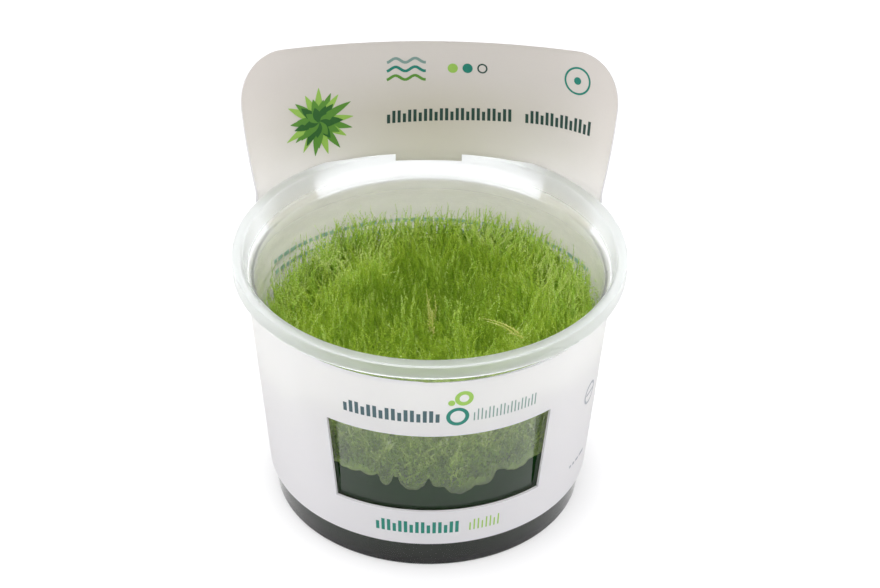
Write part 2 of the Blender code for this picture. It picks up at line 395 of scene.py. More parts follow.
def headerCurvature(s, z):
    # round the cone at its root, round the flange beyond the cut-out, nearly flat at its top
    c = card
    bend = smoothStep(c["bendStart"] - c["bendFade"], c["bendStart"] + c["bendFade"], s)
    hug = smoothStep(c["bendEnd"] - c["bendFade"], c["bendEnd"] + c["bendFade"], s)
    atFlange = 1 / c["flatRadius"] + (1 / c["bendRadius"] - 1 / c["flatRadius"]) * bend
    atFlange = atFlange + (1 / c["hugRadius"] - 1 / c["bendRadius"]) * hug
    atRoot = 1 / sleeveRadius(c["sleeveTop"])
    uncurled = np.clip((z - c["cutoutTop"]) / (c["headerTop"] - c["cutoutTop"]), 0.0, 1.0)
    low = atRoot + (atFlange - atRoot) * flareAt(z)
    return low + (1 / c["uncurledRadius"] - low) * uncurled


def headerSurface(s, z, steps=48):
    # walks along the board's section at each height, turning by its curvature
    above = np.maximum(z - card["cutoutTop"], 0.0) / (card["headerTop"] - card["cutoutTop"])
    length = np.abs(s) * (1.0 - card["headerTaper"] * above)
    x = np.zeros_like(length)
    y = np.zeros_like(length)
    turn = np.zeros_like(length)
    for i in range(steps):
        half = 0.5 * headerCurvature(length * (i + 0.5) / steps, z) * length / steps
        turn = turn + half
        x = x + np.cos(turn) * length / steps
        y = y - np.sin(turn) * length / steps
        turn = turn + half
    root = sleeveRadius(card["sleeveTop"])
    back = root + (card["headerMiddle"] - root) * flareAt(z)
    back = back + math.tan(card["headerLean"]) * np.maximum(z - skirtBottom, 0.0)
    return np.stack([np.copysign(x, s), back + y, z], -1)


def cardSurface(s, z):
    s, z = np.broadcast_arrays(np.asarray(s, float), np.asarray(z, float))
    angle = s / sleeveRadius(card["sleeveTop"])
    radius = sleeveRadius(z)
    onSleeve = np.stack([radius * np.sin(angle), radius * np.cos(angle), z], -1)
    onHeader = headerSurface(s, np.maximum(z, card["sleeveTop"]))
    return np.where((z > card["sleeveTop"])[..., None], onHeader, onSleeve)


def cardInward(s, z):
    # unit direction from the board towards the cup's axis
    reach = 0.05 * mm
    along = cardSurface(s + reach, z) - cardSurface(s - reach, z)
    up = cardSurface(s, z + reach) - cardSurface(s, z - reach)
    across = np.cross(along, up)
    return across / np.linalg.norm(across, axis=-1, keepdims=True)


def filled(anchors, step):
    # every anchor, and places between them at most a step apart
    places = []
    for start, end in zip(anchors, anchors[1:]):
        count = max(1, math.ceil((end - start) / step - 0.001))
        places += [start + (end - start) * i / count for i in range(count)]
    return places + [anchors[-1]]


def windowMiddle():
    return (math.pi - card["windowTurn"]) * sleeveRadius(card["sleeveTop"])


def windowHalf():
    return card["windowHalfAngle"] * sleeveRadius(card["sleeveTop"])


def tapered(s, z):
    # the window's sides come in a little towards its bottom
    fromEdge = abs(abs(s - windowMiddle()) - windowHalf())
    pull = 1.0 - smoothStep(0.0, 5 * mm, fromEdge)
    low = np.clip((card["windowTop"] - z) / (card["windowTop"] - card["windowBottom"]), 0.0, 1.0)
    shift = card["windowTaper"] * sleeveRadius(card["sleeveTop"]) * pull * low
    return s - math.copysign(shift, s - windowMiddle())


def headerTopAt(s):
    corner = card["headerCorner"]
    over = max(abs(s) - (card["headerHalfWidth"] - corner), 0.0)
    return card["headerTop"] - corner + math.sqrt(max(corner ** 2 - over ** 2, 0.0))


def cutoutTopAt(s):
    beyond = (abs(s) - card["tabHalfWidth"]) / (card["cutoutHalfWidth"] - card["tabHalfWidth"])
    over = min(max(beyond, 0.0), 1.0)
    return card["cutoutTop"] - card["cutoutSag"] - card["cutoutDrop"] * over ** 2


def cardMiddle():
    # places (s, z) of the board's mesh and the faces between them
    c = card
    flat = c["headerHalfWidth"] - c["headerCorner"]
    half = [0.0, c["tabHalfWidth"], c["cutoutHalfWidth"]]
    half += [flat + c["headerCorner"] * math.sin(math.radians(d)) for d in range(0, 91, 6)]
    half = filled(half, c["step"])
    header = [-s for s in reversed(half[1:])] + half
    around = math.tau * sleeveRadius(c["sleeveTop"])
    front = filled([c["headerHalfWidth"], windowMiddle() - windowHalf(), windowMiddle() + windowHalf(),
                    around - c["headerHalfWidth"]], c["step"])
    columns = header + front[1:-1]
    places = []
    faces = []

    rows = filled([c["sleeveBottom"], c["windowBottom"], c["windowTop"], c["sleeveTop"]], c["rowStep"])
    for z in rows:
        places += [(tapered(s, z), z) for s in columns]
    width = len(columns)
    for row in range(len(rows) - 1):
        inHeight = c["windowBottom"] < 0.5 * (rows[row] + rows[row + 1]) < c["windowTop"]
        for i, s in enumerate(columns):
            after = (i + 1) % width
            middle = s + 0.25 * c["step"]
            if inHeight and abs(middle - windowMiddle()) < windowHalf():
                continue
            low = row * width
            high = low + width
            faces.append((low + i, low + after, high + after, high + i))

    # the header stands on the middle columns of the sleeve's top row
    lowRows = filled([c["sleeveTop"], skirtBottom, c["tabBottom"], c["cutoutTop"]], c["lowRowStep"])[1:]
    topRow = (len(rows) - 1) * width
    below = [topRow + i for i in range(len(header))]
    heights = []
    for z in lowRows:
        lowered = max(z - c["tabBottom"], 0.0) / (c["cutoutTop"] - c["tabBottom"])
        heights.append((z, [z - lowered * (c["cutoutTop"] - cutoutTopAt(s)) for s in header]))
    for share in np.linspace(0.0, 1.0, c["headerRows"] + 1)[1:]:
        line = [cutoutTopAt(s) + share * (headerTopAt(s) - cutoutTopAt(s)) for s in header]
        heights.append((c["headerTop"], line))
    near = 0.01 * mm
    for row, (z, line) in enumerate(heights):
        current = []
        for s, height in zip(header, line):
            beside = abs(s) > c["cutoutHalfWidth"] - near
            tab = z > c["tabBottom"] - near and abs(s) < c["tabHalfWidth"] + near
            if beside or tab or z > c["cutoutTop"] - near:
                current.append(len(places))
                places.append((s, height))
            else:
                current.append(None)
        for i in range(len(header) - 1):
            corners = (below[i], below[i + 1], current[i + 1], current[i])
            middle = 0.5 * abs(header[i] + header[i + 1])
            inCutout = row < len(lowRows) and middle < c["cutoutHalfWidth"]
            onTab = row < len(lowRows) and z > c["tabBottom"] + near and middle < c["tabHalfWidth"]
            if None in corners or (inCutout and not onTab):
                continue
            faces.append(corners)
        below = current
    return np.array(places), faces


def thickened(points, inward, faces, thickness):
    # two skins and the cut edge between them; the finishes are outside, inside, edge
    count = len(points)
    skins = np.concatenate([points - inward * thickness / 2, points + inward * thickness / 2])
    made = list(faces) + [tuple(i + count for i in reversed(face)) for face in faces]
    kinds = [0] * len(faces) + [1] * len(faces)
    loose = {}                  # edges with a face on one side only
    for face in faces:
        for a, b in zip(face, face[1:] + face[:1]):
            if (b, a) in loose:
                del loose[(b, a)]
            else:
                loose[(a, b)] = True
    for a, b in loose:
        made.append((b, a, a + count, b + count))
        kinds.append(2)
    return skins, made, kinds


def between(value, ends):
    # 0 at the first end, 1 at the second and beyond it
    start, end = ends
    return ((value - start) / (end - start)).held()


def lightThrough(finish, shares):
    onHeader, onSleeve = shares
    single = between(finish.split(finish.place())[2], card["single"])
    return onHeader + (onSleeve - onHeader) * single, card["throughColor"]


def coatedCardFinish():
    finish = Finish("coatedCard")
    cloudy = finish.speckle(60.0, 3.0)
    grain = finish.speckle(2600.0, 2.0)
    # the outside is mottled at random, and painted shade greys it towards the front
    ahead = between(finish.split(finish.place())[1], card["ahead"])
    shade = (0.85 + 0.15 * cloudy - 0.9 * ahead).held()
    color = finish.blend(shade, tuple(v * 0.87 for v in card["outside"]), card["outside"])
    return finish.done({
        "Base Color": color,
        "Roughness": 0.34 + 0.12 * grain,
        "Specular IOR Level": 0.4,
        "Normal": finish.bump(grain, 0.012 * mm, 0.5),
    }, through=lightThrough(finish, card["throughCoated"]))


def bareCardFinish():
    finish = Finish("bareCard")
    x, _, z = finish.split(finish.place())
    fibres = finish.speckle(1500.0, 4.0, finish.stretched((1.0, 1.0, 2.6)))
    cloudy = finish.speckle(45.0, 3.0)
    # painted shade low in the header's middle and painted light at its sides; the fibres are the board's own
    low = between(z, card["low"])
    middle = 1 / (1 + (x * x) / card["middleReach"] ** 2)
    tone = (low * middle * 1.25 + 0.12 * (cloudy - 0.5)).held()
    side = ((x * x) / card["sideReach"] ** 2).held()
    color = finish.blend(tone, card["inside"], card["insidePaintedShade"])
    color = finish.blend(low * side, color, card["insidePaintedLight"])
    # painted light: below the header the inside turns to the lighter sleeve colour
    color = finish.blend(between(z, card["sleeveFrom"]), color, card["sleeveInsidePaintedLight"])
    color = finish.blend(0.10 * fibres, color, card["fibre"])
    return finish.done({
        "Base Color": color,
        "Roughness": 0.62 + 0.12 * fibres,
        "Specular IOR Level": 0.3,
        "Normal": finish.bump(fibres, 0.02 * mm, 0.6),
    }, through=lightThrough(finish, card["throughBare"]))


def cutEdgeFinish():
    finish = Finish("cardEdge")
    layers = finish.speckle(1800.0, 3.0, finish.stretched((1.0, 1.0, 0.3)))
    color = finish.blend(layers, card["edge"], tuple(v * 0.8 for v in card["edge"]))
    return finish.done({"Base Color": color, "Roughness": 0.7 + 0.1 * layers,
                        "Normal": finish.bump(layers, 0.03 * mm, 0.7)})


def buildCard():
    places, faces = cardMiddle()
    s, z = places[:, 0], places[:, 1]
    points, faces, kinds = thickened(cardSurface(s, z), cardInward(s, z), faces, card["thickness"])
    finishes = [coatedCardFinish(), bareCardFinish(), cutEdgeFinish()]
    return makePiece("cardSleeve", points, faces, finishes, ["card_sleeve"], kinds, sharp=40)


buildCard()


# Print: flat inks on the board, made of ribbons that follow its surface
inks = {
    "slate": rgb(66, 92, 98),
    "teal": rgb(22, 122, 106),
    "pine": rgb(36, 66, 60),
    "lime": rgb(146, 186, 84),
    "leaf": rgb(88, 140, 52),
    "fern": rgb(44, 96, 40),
    "grey": rgb(168, 172, 178),
    "mist": rgb(120, 148, 142),
    "sea": rgb(182, 220, 210),
}
inkNames = list(inks)
printing = {
    "lift": 0.02 * mm,          # ink above the board
    "step": 0.8 * mm,
    "seed": 11,
}


def inkFinish(name):
    finish = Finish("ink" + name.capitalize())
    dots = finish.speckle(3200.0, 2.0)
    color = inks[name]
    mottled = finish.blend(0.30 * dots, color, tuple(min(1.0, v * 1.5 + 0.03) for v in color))
    return finish.done({"Base Color": mottled, "Roughness": 0.38 + 0.14 * dots,
                        "Specular IOR Level": 0.4}, through=(0.25, color))


class Sheet:
    # collects ribbons in the board's own (s, z) and lays them on one of its faces
    def __init__(self):
        self.places = []
        self.faces = []
        self.kinds = []
        self.lifts = []
        self.lift = printing["lift"]

    def ribbon(self, ink, path, halfWidth, closed=False):
        path = np.array(path, float)
        if closed:
            path = np.vstack([path, path[:1]])
        lengths = np.concatenate([[0.0], np.cumsum(np.linalg.norm(np.diff(path, axis=0), axis=1))])
        count = max(2, math.ceil(lengths[-1] / printing["step"]) + 1, len(path))
        at = np.linspace(0.0, lengths[-1], count)
        line = np.stack([np.interp(at, lengths, path[:, k]) for k in (0, 1)], -1)
        widths = np.interp(at / lengths[-1], np.linspace(0, 1, len(np.atleast_1d(halfWidth))),
                           np.atleast_1d(halfWidth))
        along = np.gradient(line, axis=0)
        if closed:
            along[0] = along[-1] = line[1] - line[-2]
        along /= np.linalg.norm(along, axis=1, keepdims=True)
        side = np.stack([-along[:, 1], along[:, 0]], -1)
        across = max(1, math.ceil(2 * widths.max() / printing["step"]))
        first = len(self.places)
        for i in range(count):
            for k in range(across + 1):
                self.places.append(line[i] + side[i] * widths[i] * (2 * k / across - 1))
                self.lifts.append(self.lift)
        for i in range(count - 1):
            for k in range(across):
                corner = first + i * (across + 1) + k
                self.faces.append((corner, corner + 1, corner + across + 2, corner + across + 1))
                self.kinds.append(inkNames.index(ink))

    def bar(self, ink, start, end, z, height):
        self.ribbon(ink, [(start, z), (end, z)], height / 2)

    def ring(self, ink, s, z, radius, width):
        turns = np.linspace(0.0, math.tau, 49)[:-1]
        path = [(s + radius * math.cos(a), z + radius * math.sin(a)) for a in turns]
        self.ribbon(ink, path, width / 2, closed=True)

    def blade(self, ink, s, z, angle, length, width):
        ahead = (math.sin(angle), math.cos(angle))
        shares = np.linspace(0, 1, 9)
        path = [(s + ahead[0] * length * t, z + ahead[1] * length * t) for t in shares]
        self.ribbon(ink, path, [width / 2 * math.sin(math.pi * min(t * 0.9 + 0.08, 1)) for t in shares])

    def strokes(self, ink, start, end, z, height, count, fill):
        # a plain run of upright strokes, tall and short by turns
        pitch = (end - start) / count
        for i in range(count):
            tall = height if i % 3 else 0.72 * height
            middle = start + (i + 0.5) * pitch
            low = z(middle) - 0.5 * height
            self.ribbon(ink, [(middle, low), (middle, low + tall)], abs(pitch) * fill / 2)

    def dashes(self, ink, start, end, z, height, shuffled, longest=4.2, sag=0.0):
        # a line of plain dashes of uneven lengths; sag lifts its ends above its middle
        s = start
        while s < end:
            length = min(shuffled.uniform(0.8, longest) * mm, end - s)
            off = (2 * s - start - end) / (end - start)
            self.bar(ink, s, s + length, z + sag * off * off, height)
            s += length + 0.6 * mm

    def lay(self, name, inside):
        places = np.array(self.places)
        s, z = places[:, 0], places[:, 1]
        off = (card["thickness"] / 2 + np.array(self.lifts)) * (1 if inside else -1)
        points = cardSurface(s, z) + cardInward(s, z) * off[:, None]
        used = sorted(set(self.kinds))
        finishes = [inkFinish(inkNames[k]) for k in used]
        kinds = [used.index(k) for k in self.kinds]
        return makePiece(name, points, self.faces, finishes, faceFinish=kinds, closed=False)


def frontPlace(degrees):
    # the board's s at an angle from the front's middle, positive to the right
    return (math.pi - math.radians(degrees)) * sleeveRadius(card["sleeveTop"])


frontPrint = {
    # degrees from the front, heights and sizes in mm
    "strokes": [
        # ink, start, end, middle height, length, count, width as a share of the pitch
        ("slate", -28.0, 3.2, 41.6, 3.0, 16, 0.62),
        ("mist", 13.0, 35.0, 41.4, 2.9, 18, 0.34),
        ("teal", -18.7, 10.6, 11.5, 3.1, 15, 0.60),
        ("lime", 13.5, 25.2, 11.5, 2.9, 8, 0.36),
    ],
    "rings": [
        # ink, place, height, radius, width of the line; a disc's line is as wide as its radius
        ("teal", 8.4, 41.4, 1.9, 0.8),
        ("lime", 10.2, 46.0, 1.4, 0.9),
        ("lime", 6.4, 45.0, 0.35, 0.7),
        ("grey", 66.5, 31.0, 2.4, 0.6),
    ],
    "dashes": [
        # ink, start, end, top line, line spacing, lines, thickness, longest dash
        ("grey", 112.0, 78.0, 30.0, 2.3, 7, 0.8, 4.2),
        ("grey", 70.0, 58.0, 14.4, 0.0, 1, 0.7, 2.6),
        ("mist", -98.0, -132.0, 42.0, 2.6, 9, 0.8, 4.2),
    ],
}


def printFront():
    shuffled = random.Random(printing["seed"])
    sheet = Sheet()
    for ink, start, end, z, height, count, fill in frontPrint["strokes"]:
        level = lambda s, z=z: z * mm
        sheet.strokes(ink, frontPlace(start), frontPlace(end), level, height * mm, count, fill)
    for ink, place, z, radius, width in frontPrint["rings"]:
        sheet.ring(ink, frontPlace(place), z * mm, radius * mm, width * mm)
    sheet.bar("grey", frontPlace(63.6), frontPlace(69.6), 31.0 * mm, 0.5 * mm)
    for ink, start, end, z, spacing, lines, height, longest in frontPrint["dashes"]:
        for line in range(lines):
            sheet.dashes(ink, frontPlace(start), frontPlace(end), (z - spacing * line) * mm, height * mm,
                         shuffled, longest)
    sheet.lay("printFront", inside=False)


headerPrint = {
    # places along the board from its middle, heights and sizes in mm
    "strokes": [
        # start, end, length, count, width as a share of the pitch
        (-9.3, 18.0, 2.9, 24, 0.60),
        (20.6, 36.3, 2.9, 14, 0.60),
    ],
    "strokesFrom": (-9.3, 65.5),    # the line that the strokes stand on, and how far it rises over its length
    "strokesRise": (45.7, 2.2),
    "waves": [("mist", 78.8), ("teal", 76.8), ("leaf", 74.8)],
    "waveSpan": (-9.2, -0.7, 0.35),
    "rings": [
        # ink, place, height, radius, width of the line
        ("lime", 5.0, 77.0, 0.55, 1.1),
        ("teal", 8.2, 77.1, 0.55, 1.1),
        ("pine", 11.4, 77.2, 0.95, 0.35),
        ("teal", 32.3, 76.9, 2.75, 0.42),
        ("teal", 32.3, 76.9, 0.4, 0.8),
    ],
    "rosette": [
        # leaves, length, width, inks by turns: from the outer tier in
        (17, 7.6, 1.7, ("lime", "leaf")),
        (13, 5.6, 1.9, ("leaf", "fern")),
        (9, 3.6, 1.8, ("fern", "leaf")),
    ],
    "rosetteAt": (-24.0, 66.0),
    "leafLift": 0.004 * mm,         # each leaf lies on the one before
}


def printHeader():
    c = headerPrint
    sheet = Sheet()
    shuffled = random.Random(printing["seed"] + 1)

    def rising(s):
        start, low = c["strokesFrom"]
        length, rise = c["strokesRise"]
        return low * mm + (s - start * mm) / length * rise

    for start, end, height, count, fill in c["strokes"]:
        sheet.strokes("pine", start * mm, end * mm, rising, height * mm, count, fill)
    for ink, z in c["waves"]:
        wave = [(s * mm, z * mm + 0.5 * mm * math.sin(s * 1.5)) for s in np.arange(*c["waveSpan"])]
        sheet.ribbon(ink, wave, 0.32 * mm)
    for ink, s, z, radius, width in c["rings"]:
        sheet.ring(ink, s * mm, z * mm, radius * mm, width * mm)
    s, z = c["rosetteAt"]
    for tier, (count, length, width, tierInks) in enumerate(c["rosette"]):
        for i in range(count):
            angle = math.tau * (i + 0.37 * tier) / count + shuffled.uniform(-0.1, 0.1)
            reach = length * shuffled.uniform(0.85, 1.1) * mm
            sheet.lift += c["leafLift"]
            sheet.blade(tierInks[i % 2], s * mm, z * mm, angle, reach, width * mm)
    sheet.lay("printHeader", inside=True)


insidePrint = {
    # two faint lines across the inside of the back, seen over the moss
    "heights": (40.4 * mm, 37.8 * mm),
    "span": (246, 110),             # degrees from the front
    "thickness": 0.95 * mm,
    "longest": 2.4,
    "sag": 2.6 * mm,
}


def printInside():
    c = insidePrint
    sheet = Sheet()
    shuffled = random.Random(printing["seed"] + 2)
    start, end = (frontPlace(degrees) for degrees in c["span"])
    for z in c["heights"]:
        sheet.dashes("sea", start, end, z, c["thickness"], shuffled, c["longest"], c["sag"])
    sheet.lay("printInside", inside=True)


printFront()
printHeader()
printInside()


# Growth gel: dark, wet against the wall, with the moss's lobes pressed into its top
gel = {
    "height": 22.2 * mm,
    "peaks": 1.9 * mm,          # how far it stands up between the lobes of moss
    "lobes": [
        # rounded lobes behind the window: middle and half width in degrees, depth in mm
        (-28.0, 4.5, 0.7), (-21.0, 3.0, 0.8), (-15.0, 2.5, 2.6), (-5.8, 4.8, 3.2), (3.4, 3.0, 2.4),
        (10.6, 6.4, 4.6), (18.8, 4.4, 3.2), (31.5, 4.6, 1.3),
    ],
    "segments": 640,
    "overlap": 0.05 * mm,       # wets the plastic, so no air shows between them
    "foot": 2.0 * mm,           # height by which its rounded foot has met the wall
    "greenFrom": (0.0, 18 * mm),
    "deep": rgb(5, 6, 0),
    "green": rgb(16, 52, 14),
}
gelRadius = wallInside(gel["height"])


def gelTop(radius, angle):
    turn = (np.degrees(angle) + 270.0) % 360.0 - 180.0      # degrees from the front, positive to the right
    depth = radius / gelRadius
    hidden = smoothStep(40.0, 60.0, np.abs(turn))
    azimuth = np.radians(turn)
    wave = hidden * (1.5 * mm * np.cos(6 * azimuth) + 1.1 * mm * np.abs(np.cos(17 * azimuth)) - 1.8 * mm)
    hanging = 0.0 * azimuth
    for middle, half, drop in gel["lobes"]:
        share = np.maximum(1.0 - ((turn - middle) / half) ** 2, 0.0)
        hanging = np.maximum(hanging, drop * mm * np.sqrt(share))
    ripple = 0.28 * mm * np.abs(np.sin(47 * azimuth + 2.0 * np.sin(9 * azimuth)))
    inside = 0.6 * mm * np.sin(3 * azimuth) * np.sin(9 * depth)
    return gel["height"] + (gel["peaks"] + wave - hanging - ripple) * depth ** 3 + inside * (1.0 - depth ** 3)


def gelFinish():
    finish = Finish("growthGel")
    clouds = finish.speckle(70.0, 3.0)
    rise = between(finish.split(finish.place())[2], gel["greenFrom"])
    color = finish.blend(rise * (0.6 + 0.8 * clouds).held(), gel["deep"], gel["green"])
    return finish.done({"Base Color": color, "Roughness": 0.25 + 0.1 * clouds,
                        "Specular IOR Level": 0.0})


def buildGel():
    turns = evenTurns(gel["segments"])
    wet = gel["overlap"]
    base = cup["floor"] - wet
    above = base + gel["foot"]
    foot = rounded([(0, base, 0), (wallInside(base) + wet, base, cup["cornerRound"]),
                    (wallInside(above) + wet, above, 0)])
    rings = [circle(radius, z, turns) for radius, z in foot[1:]]
    top = gelTop(gelRadius, turns)
    for share in np.linspace(0.2, 1.0, 5):
        z = above + share * (top - above)
        rings.append(circle(wallInside(z) + wet, z, turns))
    for share in (0.97, 0.9, 0.8, 0.65, 0.5, 0.35, 0.2):
        rings.append(circle(share * gelRadius, gelTop(share * gelRadius, turns), turns))
    points, faces = ringStack(rings, (0, 0, base), (0, 0, gel["height"]))
    return makePiece("growthGel", points, faces, [gelFinish()], ["growth_gel"])


buildGel()


# Moss: a dark cushion, with joined meshes of leafy shoots standing on it
moss = {
    "height": 40.5 * mm,
    "tilt": 0.07,
    "rearRise": 3.3 * mm,       # the canopy climbs towards the back wall
    "tipHeight": 46.2 * mm,
    "tallTip": 47.2 * mm,
    "cushionDepth": 6.2 * mm,   # from the canopy down to the cushion under the shoots
    "wallGap": 0.20 * mm,
    "wallSpread": 0.5 * mm,     # leaves against the wall lie in front of one another
    "seed": 7,
    "segments": 480,
    "wallLevels": 22,
    "overGel": 0.02 * mm,
    "stemRings": 5,
    "stemWidth": 0.07 * mm,     # this and the opening hold where a kind of shoot has none of its own
    "opening": 0.92,            # radians from the stem to a leaf
    "leafWidth": 0.46,          # as a share of the leaf's length
    "leafTurn": 2.3999,         # from one leaf to the next round the stem
    "through": (0.48, rgb(190, 222, 84)),
    "cushionStops": stops((0.0, 0.4, 1.0), (52, 76, 24), (128, 156, 56), (206, 226, 118)),
    "cushionLit": (18 * mm, 35 * mm),
}
canopyRadius = wallInside(moss["height"])


def canopy(x, y):
    hummocks = 0.9 * mm * np.sin(210.0 * x + 1.0) * np.cos(170.0 * y)
    rise = moss["rearRise"] * smoothStep(-6 * mm, 30 * mm, y)
    return moss["height"] + moss["tilt"] * x + hummocks + rise


def lumps(points):
    return np.array([noise.noise(Vector(point)) for point in points])


def cushionFinish():
    finish = Finish("mossCushion")
    tufts = finish.speckle(420.0, 4.0, finish.stretched((1.0, 1.0, 0.6)), 0.6)
    clumps = finish.speckle(120.0, 2.0)
    # painted light: the cushion is lighter towards its top, with random tufts and clumps
    rise = between(finish.split(finish.place())[2], moss["cushionLit"])
    light = (rise * 0.7 + 0.6 * (tufts - 0.5) + 0.5 * (clumps - 0.5) + 0.04).held()
    return finish.done({"Base Color": finish.ramp(light, moss["cushionStops"]),
                        "Roughness": 0.75 + 0.15 * tufts,
                        "Specular IOR Level": 0.2,
                        "Normal": finish.bump(tufts, 0.6 * mm, 1.0)})


def buildCushion():
    turns = evenTurns(moss["segments"])
    x, y = np.cos(turns), np.sin(turns)
    rings = []
    for share in (0.2, 0.35, 0.5, 0.65, 0.8, 0.92):
        radius = share * gelRadius
        rings.append(circle(radius, gelTop(radius, turns) + moss["overGel"], turns))
    edge = gelRadius - 0.1 * mm
    low = gelTop(edge, turns) + moss["overGel"]
    high = canopy(edge * x, edge * y) - moss["cushionDepth"]
    for i in range(moss["wallLevels"] + 1):
        z = low + (high - low) * i / moss["wallLevels"]
        bulges = lumps(np.column_stack([x * 11, y * 11, z / (3.2 * mm)]))
        inset = 0.05 * mm + min(i, 4) / 4 * (1.2 + 0.6 * bulges) * mm
        rings.append(circle(wallInside(z) - inset, z, turns))
    for share in np.linspace(0.95, 0.05, 19):
        ring = circle(share * canopyRadius, 0.0, turns)
        bulges = 1.1 * mm * lumps(ring / (2.6 * mm))
        ring[:, 2] = canopy(ring[:, 0], ring[:, 1]) - moss["cushionDepth"] + bulges
        rings.append(ring)
    top = canopy(0.0, 0.0) - moss["cushionDepth"]
    points, faces = ringStack(rings, (0, 0, gel["height"] + moss["overGel"]), (0, 0, top))
    return makePiece("mossCushion", points, faces, [cushionFinish()], ["moss"], sharp=180)


def frondFinish(kind):
    finish = Finish(kind["finish"])
    tone = finish.add("ShaderNodeAttribute", {"attribute_name": "tone"}, {}, 2)
    reach = finish.add("ShaderNodeAttribute", {"attribute_name": "reach"}, {}, 2)
    fleck = finish.speckle(1400.0, 2.0)
    light = (0.78 * tone + 0.34 * reach + 0.12 * (fleck - 0.5)).held()
    return finish.done({"Base Color": finish.ramp(light, kind["stops"]),
                        "Roughness": 0.60 + 0.2 * fleck,
                        "Specular IOR Level": 0.2}, through=moss["through"])


def growShoots(name, kind, roots, heights, lean, tone, shuffled):
    # each shoot is a bent three-sided stem with small leaves in a spiral round it
    count = len(roots)
    leaves = kind["leaves"]
    wobble = shuffled.normal(0.0, 0.10, (count, 2))
    phase = shuffled.uniform(0.0, math.tau, (count, 1))

    def stemPoint(t):
        # t is (count, n); gives (count, n, 3)
        bend = lean[:, None, :] * (t ** 1.7)[..., None]
        sway = wobble[:, None, :] * np.sin(5.0 * t + phase)[..., None] * t[..., None]
        sideways = (bend + sway) * heights[:, None, None]
        up = t * heights[:, None] * (1.0 - 0.35 * np.linalg.norm(bend, axis=-1))
        return np.concatenate([roots[:, None, :2] + sideways, roots[:, None, 2:] + up[..., None]], -1)

    def directions(t):
        ahead = stemPoint(t + 0.02) - stemPoint(t - 0.02)
        ahead /= np.linalg.norm(ahead, axis=-1, keepdims=True)
        side = np.cross(ahead, np.array((0.31, 0.95, 0.0)))
        side /= np.linalg.norm(side, axis=-1, keepdims=True)
        return ahead, side, np.cross(ahead, side)

    # stems
    rings = moss["stemRings"]
    t = np.tile(np.linspace(0.0, 1.0, rings + 1), (count, 1))
    ahead, side, other = directions(t)
    center = stemPoint(t)
    thick = kind.get("stemWidth", moss["stemWidth"]) * (1.05 - t)[..., None]
    corners = [center + (side * math.cos(a) + other * math.sin(a)) * thick for a in evenTurns(3)]
    stem = np.stack(corners, 2)                        # count, rings + 1, 3, xyz
    index = np.arange(count * (rings + 1) * 3).reshape(count, rings + 1, 3)
    after = np.roll(index, -1, axis=2)
    stemFaces = np.stack([index[:, :-1], after[:, :-1], after[:, 1:], index[:, 1:]], -1).reshape(-1, 4)
    stemReach = np.repeat(t * 0.6, 3, axis=1).reshape(-1)
    stemTone = np.repeat(tone * 0.8, (rings + 1) * 3)

    # leaves
    t = np.linspace(0.10, 0.985, leaves) + shuffled.normal(0.0, 0.012, (count, leaves))
    ahead, side, other = directions(t)
    base = stemPoint(t)
    spin = np.arange(leaves) * moss["leafTurn"] + shuffled.uniform(0, math.tau, (count, 1))
    spin = spin + shuffled.normal(0, 0.25, (count, leaves))
    out = side * np.cos(spin)[..., None] + other * np.sin(spin)[..., None]
    opening = kind.get("opening", moss["opening"])
    spread = opening * (1.0 - 0.55 * t ** 2.5) + shuffled.normal(0.0, 0.12, t.shape)
    point = ahead * np.cos(spread)[..., None] + out * np.sin(spread)[..., None]
    length = kind["leafLength"] * (1.05 - 0.62 * t ** 1.5) * shuffled.uniform(0.75, 1.2, t.shape)
    length = length[..., None]
    width = np.cross(ahead, out) * length * moss["leafWidth"] * 0.5
    hollow = np.cross(point, width) / np.linalg.norm(width, axis=-1, keepdims=True) * length * 0.10
    belly = base + point * length * 0.42 + hollow
    leaf = np.stack([base, belly + width, base + point * length, belly - width], 2)
    leafIndex = np.arange(count * leaves * 4).reshape(-1, 4) + count * (rings + 1) * 3
    leafReach = np.repeat(t[..., None], 4, axis=2)
    leafReach[:, :, 2] += 0.12
    leafTone = np.repeat(tone[:, None] + shuffled.normal(0.0, 0.05, t.shape), 4, axis=1).reshape(-1)

    # nothing stands above the tallest tip or outside the wall
    points = np.concatenate([stem.reshape(-1, 3), leaf.reshape(-1, 3)])
    points[:, 2] = np.minimum(points[:, 2], moss["tallTip"])
    away = np.hypot(points[:, 0], points[:, 1])
    gaps = shuffled.uniform(0.0, moss["wallSpread"], count * (1 + leaves))
    gaps = np.concatenate([np.repeat(gaps[:count], (rings + 1) * 3), np.repeat(gaps[count:], 4)])
    limit = wallInside(points[:, 2]) - moss["wallGap"] - gaps
    points[:, :2] *= np.minimum(1.0, limit / np.maximum(away, 1e-6))[:, None]

    faces = np.concatenate([stemFaces, leafIndex])
    finish = bpy.data.materials.get(kind["finish"]) or frondFinish(kind)
    piece = makePiece(name, points, faces.tolist(), [finish], closed=False, sharp=180)
    for key, values in (("tone", np.concatenate([stemTone, leafTone])),
                        ("reach", np.concatenate([stemReach, leafReach.reshape(-1)]))):
        layer = piece.data.attributes.new(key, "FLOAT", "POINT")
        layer.data.foreach_set("value", np.clip(values, 0.0, 1.0).astype(np.float32))
    return piece


def scattered(spacing, shuffled, reach):
    # jittered rows of places inside a circle
    rows = int(reach / spacing) + 1
    span = range(-rows, rows + 1)
    places = np.array([((k + 0.5 * (i % 2)) * spacing, i * spacing * 0.87) for i in span for k in span])
    places += shuffled.normal(0.0, 0.28 * spacing, (len(places), 2))
    return places[np.hypot(places[:, 0], places[:, 1]) < reach]


def clumpField(places, size, layer):
    return lumps(np.column_stack([places / size, np.full(len(places), layer)]))


def rooted(places, sunk):
    # roots that stand a little inside the cushion
    return np.column_stack([places, canopy(*places.T) - moss["cushionDepth"] - sunk])


